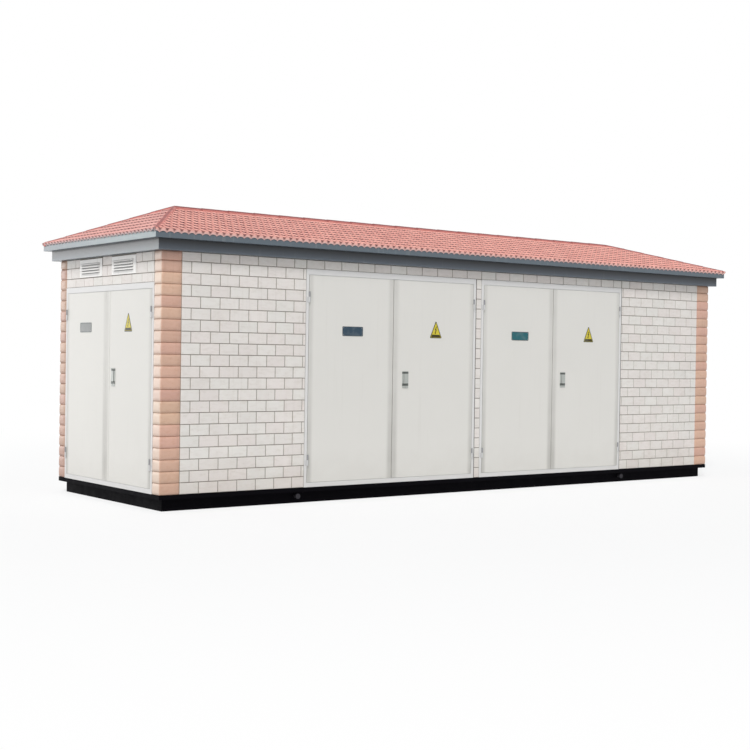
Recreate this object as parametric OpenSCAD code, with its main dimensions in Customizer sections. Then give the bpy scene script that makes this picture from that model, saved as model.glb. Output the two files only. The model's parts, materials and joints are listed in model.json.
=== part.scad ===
// Compact substation: a steel skid, brick-clad walls with folded sheet doors, and a hipped roof.
// X runs along the building, the front faces -Y, and Z = 0 is the ground under the skid.

/* [Walls] */
// Length over the brick faces
wall_l = 8240; // [7800:10:9200]
// Width over the brick faces
wall_w = 2350; // [2200:10:2600]
// Thickness of the walls, from the brick faces to the inner skin
wall_t = 60; // [54:1:100]
// Depth of the brick slips that cover the wall panels
brick_relief = 7; // [3:1:12]
// Width of a corner quoin on the long sides
quoin_front = 225; // [150:5:300]
// Width of a corner quoin on the ends
quoin_end = 155; // [100:5:200]

/* [Base] */
// Height of the channels that stand on the ground
skid_h = 120; // [80:5:200]
// Distance of the skid behind the wall faces
skid_inset = 66; // [30:1:100]
// Width of a channel flange
channel_flange = 53; // [30:1:80]
// Thickness of the channels
channel_t = 6; // [4:1:12]
// Height of the ledge that carries the walls
ledge_h = 45; // [30:1:80]
// Thickness of the ledge's steel
ledge_t = 5; // [3:1:10]
// Thickness of the floor plate
floor_t = 5; // [3:1:12]
// Number of cross beams under the floor
beam_count = 7; // [3:1:11]
// Width of a cross beam
beam_w = 50; // [30:5:100]
// Distance of the lifting pins from the middle of the building
pin_x = 2480; // [1500:10:3500]
// Height of the lifting pins
pin_z = 74; // [40:1:90]
// Radius of a lifting pin
pin_r = 20; // [10:1:30]
// Length of a lifting pin
pin_len = 58; // [30:1:80]
// Radius of the disc at the end of a lifting pin
pin_disc_r = 28; // [20:1:38]
// Thickness of that disc
pin_disc_t = 6; // [3:1:10]

/* [Door frames] */
// Width of a front door frame
bay_w = 2370; // [1800:5:2600]
// Width of the brick pier between the front doors
pier_w = 90; // [80:5:300]
// Height of a front door frame
bay_h = 2300; // [1900:5:2700]
// Height of the wall over the front doors
bay_lintel_h = 95; // [60:5:250]
// Height of the wall over the end doors, with the vents
end_lintel_h = 305; // [240:5:400]
// Width of the frame's posts
jamb_w = 32; // [30:1:80]
// Height of the frame's head
head_h = 58; // [30:1:90]
// Height of the frame's sill
sill_h = 45; // [30:1:90]
// How far the stop behind a leaf reaches into the doorway
stop_w = 15; // [8:1:30]
// Thickness of the stop
stop_t = 8; // [4:1:12]
// Thickness of the frame's folded steel
frame_t = 3; // [2:0.5:5]

/* [Doors] */
// Gap between a leaf and its frame
edge_gap = 6; // [5:1:10]
// Gap where two leaves meet
meet_gap = 8; // [7:1:14]
// Distance of the meeting line from the doorway's middle, which makes the left leaf the narrower one
meet_off = 22; // [0:1:60]
// Width of the closing strip along the right leaf's meeting edge
strip_w = 80; // [40:1:100]
// Thickness of the closing strip
strip_t = 3; // [2:0.5:5]
// Depth of a leaf
leaf_d = 40; // [32:1:42]
// Thickness of the folded sheet
sheet_t = 2; // [1.5:0.5:4]
// Width of the lip round the back of a leaf
lip_w = 24; // [15:1:40]
// Number of stiffeners across a leaf
rib_count = 3; // [1:1:6]
// Height of a stiffener
rib_h = 60; // [30:5:100]
// Depth of a stiffener
rib_d = 24; // [15:1:26]

/* [Hinges] */
// Radius of a hinge barrel
barrel_r = 9; // [8:0.5:12]
// Length of one knuckle, half of the barrel
knuckle_h = 57; // [40:1:80]
// Gap between the two knuckles of a hinge
knuckle_gap = 1; // [0.5:0.5:3]
// Radius of a hinge pin
hinge_pin_r = 5; // [3:0.5:6]
// Running clearance round the pin
pin_play = 0.05; // [0.02:0.01:0.1]
// Thickness of the closed end above the pin
knuckle_cap = 7; // [4:1:12]
// Free length between the pin and that closed end
pin_end_gap = 2; // [1:0.5:5]
// Width of the flap that fixes a knuckle
flap_w = 26; // [15:1:28]
// Thickness of that flap
flap_t = 3; // [2:0.5:5]
// Distance of the upper hinge below the top of a leaf
hinge_drop = 230; // [150:5:400]
// Distance of the lower hinge above the foot of a leaf
hinge_rise = 235; // [150:5:400]

/* [Locks] */
// Width of a lock plate
lock_w = 84; // [60:1:120]
// Height of a lock plate
lock_h = 186; // [120:1:220]
// Thickness of a lock plate
lock_t = 6; // [4:1:10]
// Height of the lock's middle above the base
lock_z = 1135; // [900:5:1400]
// Distance of the lock's middle from the meeting edge
lock_off = 172; // [165:1:250]
// Width of the folding handle
handle_w = 40; // [20:1:50]
// How far the handle stands out of its plate
handle_out = 9; // [4:1:15]
// Height of the finger grip under the handle
handle_grip = 38; // [20:1:50]
// Play between the handle and the dish that it folds into
handle_play = 5; // [2:1:8]
// Width of the plate's rim above and below the dish
lock_rim = 14; // [8:1:24]
// Radius of the corners of the plate and the handle
lock_corner = 6; // [2:1:10]
// Radius of the key barrel
key_r = 11; // [6:0.5:16]
// How far the key barrel stands out of the plate
key_out = 3; // [1:0.5:8]
// Width of the key slot
key_slot = 4; // [2:0.5:6]

/* [Vents] */
// Width of a louvre plate
vent_w = 540; // [300:5:700]
// Height of a louvre plate
vent_h = 190; // [150:1:200]
// Thickness of a louvre plate
vent_t = 9; // [8:1:14]
// Half the distance between the middles of the two vents
vent_y = 385; // [360:5:560]
// Distance of the pair of vents from the middle of the end wall, towards the back
vent_off = 25; // [0:5:80]
// Distance of a vent's middle below the top of the wall
vent_drop = 109; // [101:1:125]
// Number of louvres in a plate
slot_count = 4; // [2:1:5]
// Distance from one louvre to the next
slot_pitch = 29; // [25:1:34]
// Width of a louvre
slot_w = 430; // [250:2:480]
// Height of a louvre
slot_h = 17; // [8:1:20]
// Thickness of a louvre hood
hood_t = 1.5; // [1:0.5:3]

/* [Roof] */
// Height of the fascia
fascia_h = 110; // [80:5:160]
// How far the fascia stands out from the walls
fascia_out = 75; // [40:1:120]
// Thickness of the fascia's sheet
fascia_t = 4; // [2:1:8]
// Height of the eave trim
trim_h = 68; // [45:1:100]
// How far the eaves stand out from the walls
eave_out = 144; // [125:1:200]
// Thickness of the eave trim
trim_t = 4; // [2:1:8]
// Thickness of the ceiling
ceiling_t = 4; // [2:1:10]
// Upright thickness of the roof deck
deck_v = 18; // [10:1:40]
// Rise of the deck from the eaves to the ridge
roof_rise = 367; // [200:5:600]
// Length of the hipped end, from the deck's edge to the ridge
hip_run = 904; // [600:4:1400]
// Radius of the ridge cap
ridge_r = 35; // [25:1:60]
// Radius of the hip caps
hip_r = 30; // [20:1:50]
// Bedding gap under the caps
cap_gap = 0.3; // [0.2:0.1:1]

/* [Hidden] */
$fn = 48;

half_l = wall_l / 2;
half_w = wall_w / 2;
wall_h = bay_h + bay_lintel_h;
end_h = wall_h - end_lintel_h;
base_h = skid_h + ledge_h;
wall_top = base_h + wall_h;
ledge_w = skid_inset + channel_flange;
bay_x = (pier_w + bay_w) / 2;
end_w = wall_w - 2 * quoin_end;
hinge_x = -edge_gap / 2;
hinge_y = -barrel_r;
hinge_len = 2 * knuckle_h + knuckle_gap;
fascia_top = wall_top + fascia_h;
eave_x = half_l + eave_out;
eave_y = half_w + eave_out;
deck_x = eave_x - trim_t;
deck_y = eave_y - trim_t;
eave_z = fascia_top + trim_h;
ridge_z = eave_z + roof_rise;
ridge_x = deck_x - hip_run;
long_slope = roof_rise / deck_y;
end_slope = roof_rise / hip_run;
cut = 1;

// A box between two corners
module block(lo, hi) {
    translate(lo) cube(hi - lo);
}

// A rectangular ring of a given width, measured inwards from its outer half sizes
module ring(half, width, z0, z1) {
    difference() {
        block([-half.x, -half.y, z0], [half.x, half.y, z1]);
        block([width - half.x, width - half.y, z0 - cut], [half.x - width, half.y - width, z1 + cut]);
    }
}

// Four mitred channels whose webs face outwards
module channel_ring(half, width, z0, z1, t) {
    difference() {
        ring(half, width, z0, z1);
        ring(half - [t, t], width, z0 + t, z1 - t);
    }
}

// The base: a channel skid, its cross beams, lifting pins, the ledge and the floor
module skid_frame() {
    color("#16151a")
        channel_ring([half_l - skid_inset, half_w - skid_inset], channel_flange, 0, skid_h, channel_t);
}

module cross_beam() {
    difference() {
        block([-beam_w / 2, ledge_w - half_w, 0], [beam_w / 2, half_w - ledge_w, base_h]);
        block([channel_t - beam_w / 2, ledge_w - half_w - cut, channel_t],
            [beam_w / 2 + cut, half_w - ledge_w + cut, base_h - channel_t]);
    }
}

module cross_beams() {
    pitch = (wall_l - 2 * ledge_w) / (beam_count + 1);
    color("#16151a")
        for (k = [1:beam_count])
            translate([(k - (beam_count + 1) / 2) * pitch, 0, 0]) cross_beam();
}

module lifting_pin() {
    rotate([90, 0, 0]) {
        cylinder(r = pin_r, h = pin_len);
        translate([0, 0, pin_len - pin_disc_t]) cylinder(r = pin_disc_r, h = pin_disc_t);
    }
}

module lifting_pins() {
    color("#2a292e")
        for (side = [0, 1], x = [-pin_x, pin_x])
            mirror([0, side, 0]) translate([x, skid_inset - half_w, pin_z]) lifting_pin();
}

module base_ledge() {
    color("#16151a") channel_ring([half_l, half_w], ledge_w, skid_h, base_h, ledge_t);
}

module floor_plate() {
    color("#8d9092")
        block([wall_t - half_l, wall_t - half_w, base_h],
            [half_l - wall_t, half_w - wall_t, base_h + floor_t]);
}

// The walls: corner quoins, panels beside and over the doorways, and the back wall
module corner(side_x, side_y) {
    color("#cda98f") mirror([side_x, 0, 0]) mirror([0, side_y, 0]) difference() {
        block([brick_relief - half_l, brick_relief - half_w, base_h],
            [quoin_front - half_l, quoin_end - half_w, wall_top]);
        block([wall_t - half_l, wall_t - half_w, base_h - cut], [half_l, half_w, wall_top + cut]);
    }
}

module front_panel(x0, x1, z0, z1) {
    color("#cfcbc4") block([x0, brick_relief - half_w, z0], [x1, wall_t - half_w, z1]);
}

module front_wall_left() {
    front_panel(quoin_front - half_l, -bay_x - bay_w / 2, base_h, wall_top);
}

module front_wall_right() {
    front_panel(bay_x + bay_w / 2, half_l - quoin_front, base_h, wall_top);
}

module front_pier() {
    front_panel(-pier_w / 2, pier_w / 2, base_h, base_h + bay_h);
}

module front_lintel() {
    front_panel(-bay_x - bay_w / 2, bay_x + bay_w / 2, base_h + bay_h, wall_top);
}

module back_wall() {
    mirror([0, 1, 0]) front_panel(quoin_front - half_l, half_l - quoin_front, base_h, wall_top);
}

module end_lintel() {
    color("#d8d5cf") difference() {
        block([brick_relief - half_l, -end_w / 2, base_h + end_h], [wall_t - half_l, end_w / 2, wall_top]);
        for (y = [vent_off - vent_y, vent_off + vent_y])
            block([-half_l, y - slot_w / 2, wall_top - vent_drop - slot_count * slot_pitch / 2],
                [half_l, y + slot_w / 2, wall_top - vent_drop + slot_count * slot_pitch / 2]);
    }
}

// Places for what is drawn as seen from outside: x to the right, y into the building, z up
module at_left_bay() {
    translate([-bay_x, -half_w, base_h]) children();
}

module at_right_bay() {
    translate([bay_x, -half_w, base_h]) children();
}

module at_left_end() {
    translate([-half_l, 0, base_h]) rotate([0, 0, -90]) children();
}

module at_right_end() {
    mirror([1, 0, 0]) at_left_end() children();
}

// A steel door frame, folded to a channel that is open at the back, with a stop behind the leaves
module door_frame(w, h) {
    seat = w / 2 - jamb_w;
    clear = seat - stop_w;
    color("#c9cbcb") difference() {
        block([-w / 2, 0, 0], [w / 2, wall_t, h]);
        block([-seat, -cut, sill_h], [seat, wall_t - stop_t, h - head_h]);
        block([-clear, -cut, sill_h + stop_w], [clear, wall_t + cut, h - head_h - stop_w]);
        difference() {
            block([frame_t - w / 2, frame_t, frame_t], [w / 2 - frame_t, wall_t + cut, h - frame_t]);
            block([-seat - frame_t, 0, sill_h - frame_t],
                [seat + frame_t, wall_t + 2 * cut, h - head_h + frame_t]);
        }
    }
}

// The size and place of one leaf, left (0) or right (1), in a frame of a given width and height
function leaf_w(w, right) = w / 2 - jamb_w - edge_gap - meet_gap / 2 + (2 * right - 1) * meet_off;
function leaf_h(h) = h - sill_h - head_h - 2 * edge_gap;
function leaf_x(w) = jamb_w + edge_gap - w / 2;
function leaf_z() = sill_h + edge_gap;
function hinge_zs(h) = [hinge_rise - hinge_len / 2, leaf_h(h) - hinge_drop - hinge_len / 2];

// Moves from the frame to a leaf, with the leaf's hinged edge at x = 0 and its foot at z = 0
module at_leaf(w, right) {
    mirror([right, 0, 0]) translate([leaf_x(w), 0, leaf_z()]) children();
}

// The half of a hinge that stays on the frame, with the pin
module frame_knuckle() {
    pin_h = 2 * knuckle_h + knuckle_gap - knuckle_cap - pin_end_gap;
    cylinder(r = barrel_r, h = knuckle_h);
    cylinder(r = hinge_pin_r, h = pin_h);
    block([-edge_gap / 2 - flap_w, barrel_r - flap_t, 0], [0, barrel_r, knuckle_h]);
}

// The half of a hinge that turns with the leaf
module leaf_knuckle() {
    difference() {
        union() {
            cylinder(r = barrel_r, h = knuckle_h);
            block([0, barrel_r - flap_t, 0], [edge_gap / 2 + flap_w, barrel_r, knuckle_h]);
        }
        translate([0, 0, -cut]) cylinder(r = hinge_pin_r + pin_play, h = knuckle_h - knuckle_cap + cut);
    }
}

module pair_hinges(w, h) {
    for (right = [0, 1], z = hinge_zs(h))
        at_leaf(w, right) translate([hinge_x, hinge_y, z]) frame_knuckle();
}

module frame_hinges() {
    color("#b9bcbd") {
        at_left_bay() pair_hinges(bay_w, bay_h);
        at_right_bay() pair_hinges(bay_w, bay_h);
        at_left_end() pair_hinges(end_w, end_h);
        at_right_end() pair_hinges(end_w, end_h);
    }
}

// A stiffener: a folded channel across the back of the sheet
module rib(w) {
    difference() {
        block([sheet_t / 2, sheet_t / 2, 0], [w - sheet_t / 2, sheet_t + rib_d, rib_h]);
        block([sheet_t, 0, sheet_t], [w - sheet_t, rib_d, rib_h - sheet_t]);
    }
}

// A door leaf: a folded pan with a lip round its back, stiffeners, two knuckles and, on the right
// leaf, the closing strip
module leaf(w, h, right) {
    lw = leaf_w(w, right);
    lh = leaf_h(h);
    difference() {
        cube([lw, leaf_d, lh]);
        block([sheet_t, sheet_t, sheet_t], [lw - sheet_t, leaf_d - sheet_t, lh - sheet_t]);
        block([lip_w, sheet_t, lip_w], [lw - lip_w, leaf_d + cut, lh - lip_w]);
    }
    for (k = [1:rib_count])
        translate([0, 0, lh * k / (rib_count + 1) - rib_h / 2]) rib(lw);
    for (z = hinge_zs(h))
        translate([hinge_x, hinge_y, z + knuckle_h + knuckle_gap]) leaf_knuckle();
    if (right == 1)
        block([lw - strip_w, -strip_t, 0], [lw, sheet_t / 2, lh]);
}

module bay_leaf(right) {
    color("#d9d7d3") at_leaf(bay_w, right) leaf(bay_w, bay_h, right);
}

module end_leaf(right) {
    color("#ebeae6") at_leaf(end_w, right) leaf(end_w, end_h, right);
}

// A plate with round corners, centred on x, from y0 to y1
module round_plate(w, y0, y1, r, h) {
    linear_extrude(h) {
        for (x = [r - w / 2, w / 2 - r], y = [y0 + r, y1 - r])
            translate([x, y]) circle(r = r);
        translate([-w / 2, y0 + r]) square([w, y1 - y0 - 2 * r]);
        translate([r - w / 2, y0]) square([w - 2 * r, y1 - y0]);
    }
}

// A plate lock on the right leaf of a pair: a dished plate, a folding handle and a key barrel
module lock() {
    foot = -lock_h / 2;
    handle_foot = foot + lock_rim + 2 * key_r + handle_play;
    handle_top = lock_h / 2 - lock_rim - handle_play;
    dish_w = handle_w + 2 * handle_play;
    dish_t = lock_t / 2;
    color("#a9adb0") translate([meet_gap / 2 - meet_off + lock_off, 0, lock_z]) rotate([90, 0, 0]) {
        difference() {
            round_plate(lock_w, foot, -foot, lock_corner, lock_t);
            translate([0, 0, dish_t])
                round_plate(dish_w, handle_foot - handle_play, handle_top + handle_play,
                    lock_corner, lock_t);
        }
        translate([0, 0, dish_t]) difference() {
            round_plate(handle_w, handle_foot, handle_top, lock_corner, handle_out);
            translate([-handle_w, handle_foot + lock_corner, -cut])
                cube([2 * handle_w, handle_grip, handle_out / 2 + cut]);
        }
        translate([0, foot + lock_rim / 2 + key_r, 0]) difference() {
            cylinder(r = key_r, h = lock_t + key_out);
            translate([-key_slot / 2, -key_r / 2, lock_t]) cube([key_slot, key_r, key_out + cut]);
        }
    }
}

// A louvre plate: pressed hoods, open below, in front of slots
module hood() {
    rotate([90, 0, 90]) {
        linear_extrude(slot_w + 2 * hood_t, center = true) intersection() {
            difference() {
                circle(r = slot_h + hood_t);
                circle(r = slot_h);
            }
            translate([-slot_h - hood_t, 0]) square(slot_h + hood_t);
        }
        for (x = [-slot_w / 2 - hood_t, slot_w / 2])
            translate([0, 0, x]) linear_extrude(hood_t) intersection() {
                circle(r = slot_h + hood_t);
                translate([-slot_h - hood_t, 0]) square(slot_h + hood_t);
            }
    }
}

module louvre_plate() {
    first = -(slot_count - 1) * slot_pitch / 2 - slot_h / 2;
    difference() {
        block([-vent_w / 2, brick_relief - vent_t, -vent_h / 2], [vent_w / 2, brick_relief, vent_h / 2]);
        for (k = [0:slot_count - 1])
            block([-slot_w / 2, -vent_t, first + k * slot_pitch],
                [slot_w / 2, brick_relief + cut, first + k * slot_pitch + slot_h]);
    }
    for (k = [0:slot_count - 1])
        translate([0, brick_relief - vent_t, first + k * slot_pitch]) hood();
}

module end_vents() {
    color("#e4e4e1")
        for (x = [-vent_off - vent_y, vent_y - vent_off])
            translate([x, 0, wall_h - vent_drop]) louvre_plate();
}

// The roof: fascia, eave trim, ceiling, four deck slopes and the caps
module fascia() {
    color("#5f6973")
        channel_ring([half_l + fascia_out, half_w + fascia_out], fascia_out + wall_t,
            wall_top, fascia_top, fascia_t);
}

module eave_trim() {
    color("#6d7a80") difference() {
        ring([eave_x, eave_y], eave_out, fascia_top, eave_z);
        ring([deck_x, deck_y], eave_out, fascia_top + trim_t, eave_z + cut);
    }
}

module ceiling() {
    color("#c4c6c6") block([-half_l, -half_w, fascia_top], [half_l, half_w, fascia_top + ceiling_t]);
}

// The upright outline, seen from the right, of a deck that rises from its eave to the ridge
module slope_outline(run, slope) {
    over = 40;
    foot = eave_z - over * slope;
    peak = ridge_z + over * slope;
    polygon([[-run - over, foot - deck_v], [over, peak - deck_v], [over, peak], [-run - over, foot]]);
}

module long_deck() {
    color("#c98a80") intersection() {
        rotate([90, 0, 90]) linear_extrude(2 * eave_x, center = true) slope_outline(deck_y, long_slope);
        linear_extrude(ridge_z + deck_v)
            polygon([[-deck_x, -deck_y], [deck_x, -deck_y], [ridge_x, 0], [-ridge_x, 0]]);
    }
}

module end_deck() {
    color("#c98a80") intersection() {
        translate([-ridge_x, 0, 0]) rotate([90, 0, 0])
            linear_extrude(2 * eave_y, center = true) slope_outline(hip_run, end_slope);
        linear_extrude(ridge_z + deck_v) polygon([[-deck_x, -deck_y], [-ridge_x, 0], [-deck_x, deck_y]]);
    }
}

// Everything below the bed of the caps, with both slopes run on past the eaves
module under_caps() {
    low = eave_z - roof_rise;
    translate([0, 0, cap_gap]) intersection() {
        rotate([90, 0, 90]) linear_extrude(4 * deck_x, center = true)
            polygon([[-2 * deck_y, low], [2 * deck_y, low], [0, ridge_z]]);
        rotate([90, 0, 0]) linear_extrude(4 * deck_y, center = true)
            polygon([[-deck_x - hip_run, low], [deck_x + hip_run, low], [0, eave_z + deck_x * end_slope]]);
    }
}

module ridge_cap() {
    color("#b0605a") difference() {
        translate([-ridge_x, 0, ridge_z]) rotate([0, 90, 0]) cylinder(r = ridge_r, h = 2 * ridge_x);
        under_caps();
    }
}

// One hip cap, at the front left corner, cut where it meets the ridge and its neighbour
module hip_cap() {
    hip_len = norm([hip_run, deck_y, roof_rise]);
    difference() {
        intersection() {
            translate([-deck_x, -deck_y, eave_z])
                rotate([0, acos(roof_rise / hip_len), atan2(deck_y, hip_run)])
                    translate([0, 0, -hip_r]) cylinder(r = hip_r, h = hip_len + 2 * hip_r);
            block([-eave_x, -eave_y, eave_z + cap_gap], [-ridge_x, 0, ridge_z + 2 * hip_r]);
        }
        under_caps();
    }
}

module hip_caps() {
    color("#b0605a")
        for (side_x = [0, 1], side_y = [0, 1])
            mirror([side_x, 0, 0]) mirror([0, side_y, 0]) hip_cap();
}

skid_frame();
cross_beams();
lifting_pins();
base_ledge();
floor_plate();
corner(0, 0);  // corner_front_left
corner(1, 0);  // corner_front_right
corner(0, 1);  // corner_back_left
corner(1, 1);  // corner_back_right
front_wall_left();
front_pier();
front_wall_right();
front_lintel();
back_wall();
end_lintel();  // left_end_lintel
mirror([1, 0, 0]) end_lintel();  // right_end_lintel
at_left_bay() door_frame(bay_w, bay_h);  // left_bay_frame
at_right_bay() door_frame(bay_w, bay_h);  // right_bay_frame
at_left_end() door_frame(end_w, end_h);  // left_end_frame
at_right_end() door_frame(end_w, end_h);  // right_end_frame
frame_hinges();
at_left_end() end_vents();  // left_end_vents
at_right_end() end_vents();  // right_end_vents
at_left_bay() bay_leaf(0);  // left_bay_door_left
at_left_bay() bay_leaf(1);  // left_bay_door_right
at_right_bay() bay_leaf(0);  // right_bay_door_left
at_right_bay() bay_leaf(1);  // right_bay_door_right
at_left_end() end_leaf(0);  // left_end_door_back
at_left_end() end_leaf(1);  // left_end_door_front
at_right_end() end_leaf(0);  // right_end_door_back
at_right_end() end_leaf(1);  // right_end_door_front
at_left_bay() lock();  // left_bay_lock
at_right_bay() lock();  // right_bay_lock
at_left_end() lock();  // left_end_lock
at_right_end() lock();  // right_end_lock
fascia();
eave_trim();
ceiling();
long_deck();  // roof_front
mirror([0, 1, 0]) long_deck();  // roof_back
end_deck();  // roof_left
mirror([1, 0, 0]) end_deck();  // roof_right
ridge_cap();
hip_caps();
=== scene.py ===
"""Looks of the compact substation: bricks, quoins, tiles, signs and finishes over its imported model."""

import json
import math

import bpy
import numpy as np
from mathutils import Matrix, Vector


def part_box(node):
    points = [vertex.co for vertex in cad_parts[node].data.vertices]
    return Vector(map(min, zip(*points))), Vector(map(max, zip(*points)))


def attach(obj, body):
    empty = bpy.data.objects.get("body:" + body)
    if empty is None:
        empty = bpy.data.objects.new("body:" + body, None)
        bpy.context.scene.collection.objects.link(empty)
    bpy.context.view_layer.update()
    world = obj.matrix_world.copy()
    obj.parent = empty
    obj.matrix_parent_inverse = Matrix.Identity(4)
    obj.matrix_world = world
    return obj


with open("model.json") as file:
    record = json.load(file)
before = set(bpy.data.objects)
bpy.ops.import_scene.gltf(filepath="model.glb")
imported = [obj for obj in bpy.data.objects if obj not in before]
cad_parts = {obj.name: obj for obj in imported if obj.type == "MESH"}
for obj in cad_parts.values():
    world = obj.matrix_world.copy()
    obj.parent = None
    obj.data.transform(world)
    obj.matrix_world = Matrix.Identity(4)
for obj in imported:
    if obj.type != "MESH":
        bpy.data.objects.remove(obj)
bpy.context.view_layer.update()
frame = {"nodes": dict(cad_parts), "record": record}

# Planes of the building, in metres
half_l = -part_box("left_end_frame")[0].x
half_w = -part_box("left_bay_frame")[0].y
base_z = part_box("back_wall")[0].z
wall_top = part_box("back_wall")[1].z
relief = half_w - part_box("back_wall")[1].y
deck_low, deck_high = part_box("roof_front")
ridge_half = -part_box("ridge_cap")[0].x

# Brick bond: a course and a brick, both with their joint, and half of each joint between slips
course = 0.115
brick = 0.2225
half_head_joint = 0.0045
half_bed_joint = 0.0036
courses = math.ceil((wall_top - base_z) / course)

# Width of a vent plate, and the joint beside it
vent_width = 0.54
vent_shadow = 0.006

# Doorways: width of a jamb, gap round the leaves and height of the rubber in it
jamb = 0.032
edge_gap = 0.006
seal_height = 0.0045

# Heights of the middles of name plates and warning signs
plate_up = 1.820
sign_up = 1.855

seed = np.random.default_rng(7)

# Each wall face: a point under its middle, the direction to its right as seen from outside, and outwards
faces = {
    "front": ((0, -half_w, 0), (1, 0, 0), (0, -1, 0)),
    "back": ((0, half_w, 0), (-1, 0, 0), (0, 1, 0)),
    "left": ((-half_l, 0, 0), (0, -1, 0), (-1, 0, 0)),
    "right": ((half_l, 0, 0), (0, 1, 0), (1, 0, 0)),
}


# Meshes

def on_face(face, across, up, out):
    """Points on a wall face: its origin, plus across to the right, up along Z and out from the wall."""
    origin, right, normal = (np.array(v, float) for v in faces[face])
    points = origin + across[..., None] * right + out[..., None] * normal
    points[..., 2] += up
    return points


def grid_quads(rows, columns, copies=1, closed=False):
    """Quads between neighbours of a grid stored row by row, repeated for each copy of the grid."""
    row, column = np.meshgrid(np.arange(rows - 1), np.arange(columns - (not closed)), indexing="ij")
    after = (column + 1) % columns
    quads = np.stack([row * columns + column, row * columns + after,
                      (row + 1) * columns + after, (row + 1) * columns + column], axis=-1).reshape(-1, 4)
    return (quads[None] + (np.arange(copies) * rows * columns)[:, None, None]).reshape(-1, 4)


def add_piece(name, points, polygons, body, materials, smooth=False, values=None, kinds=None):
    """A mesh piece that rides on a body, with one number a point for each named attribute."""
    mesh = bpy.data.meshes.new(name)
    mesh.from_pydata(np.asarray(points).reshape(-1, 3).tolist(), [], [list(map(int, p)) for p in polygons])
    for label, numbers in (values or {}).items():
        layer = mesh.attributes.new(label, "FLOAT", "POINT")
        layer.data.foreach_set("value", np.asarray(numbers, np.float32).ravel())
    for material in materials:
        mesh.materials.append(material)
    if kinds is not None:
        mesh.polygons.foreach_set("material_index", np.asarray(kinds, np.int32))
    mesh.polygons.foreach_set("use_smooth", np.full(len(mesh.polygons), smooth))
    mesh.update()
    piece = bpy.data.objects.new(name, mesh)
    bpy.context.scene.collection.objects.link(piece)
    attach(piece, body)


def bond_cells(start, end, low, high, even, odd, holes=()):
    """Rectangles of a running bond between two edges: every course is cut at the head joints of its parity,
    which lie whole bricks away from a given one, and round the holes."""
    cells = []
    for k in range(courses):
        foot = max(base_z + k * course, low)
        head = min(base_z + (k + 1) * course, high)
        if head - foot < 0.03:
            continue
        first = odd if k % 2 else even
        joints = first + brick * np.arange(-60, 61)
        inside = joints[(joints > start + 0.025) & (joints < end - 0.025)]
        cuts = [start, *inside, end]
        for a, b in zip(cuts[:-1], cuts[1:]):
            parts = [(a, b)]
            for h0, h1, h2, h3 in holes:
                if foot < h3 - 0.02 and head > h2 + 0.02:
                    parts = [p for q in parts for p in ((q[0], min(q[1], h0)), (max(q[0], h1), q[1]))]
            cells += [(p[0], p[1], foot, head) for p in parts if p[1] - p[0] > 0.02]
    return np.array(cells)


def brick_slips(name, face, cells):
    """Brick slips on a wall face. Each is a rectangle carried outwards through four rings that draw in as
    they rise, which rounds its edges, and a flat face closes it."""
    rings = np.array([(0.0, -relief), (0.0004, -0.0028), (0.0016, -0.0009), (0.0042, 0.0)])
    a, b, c, d = (cells[:, i, None] for i in range(4))
    side = half_head_joint + rings[None, :, 0]
    bed = half_bed_joint + rings[None, :, 0]
    across = np.stack([a + side, b - side, b - side, a + side], axis=-1)
    up = np.stack([c + bed, c + bed, d - bed, d - bed], axis=-1)
    uneven = seed.uniform(-0.0004, 0, (len(cells), 1, 1))
    out = np.broadcast_to(rings[None, :, 1, None], across.shape) + uneven
    points = on_face(face, across, up, out)
    sides = grid_quads(4, 4, len(cells), closed=True)
    per_slip = 4 * len(rings)
    tops = (np.arange(len(cells)) * per_slip)[:, None] + np.arange(per_slip - 4, per_slip)
    tone = np.repeat(seed.uniform(0, 1, len(cells)), per_slip)
    hue = np.repeat(seed.uniform(0, 1, len(cells)), per_slip)
    add_piece(name, points, np.concatenate([sides, tops]), "building", [brick_finish],
              values={"tone": tone, "hue": hue})


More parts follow.
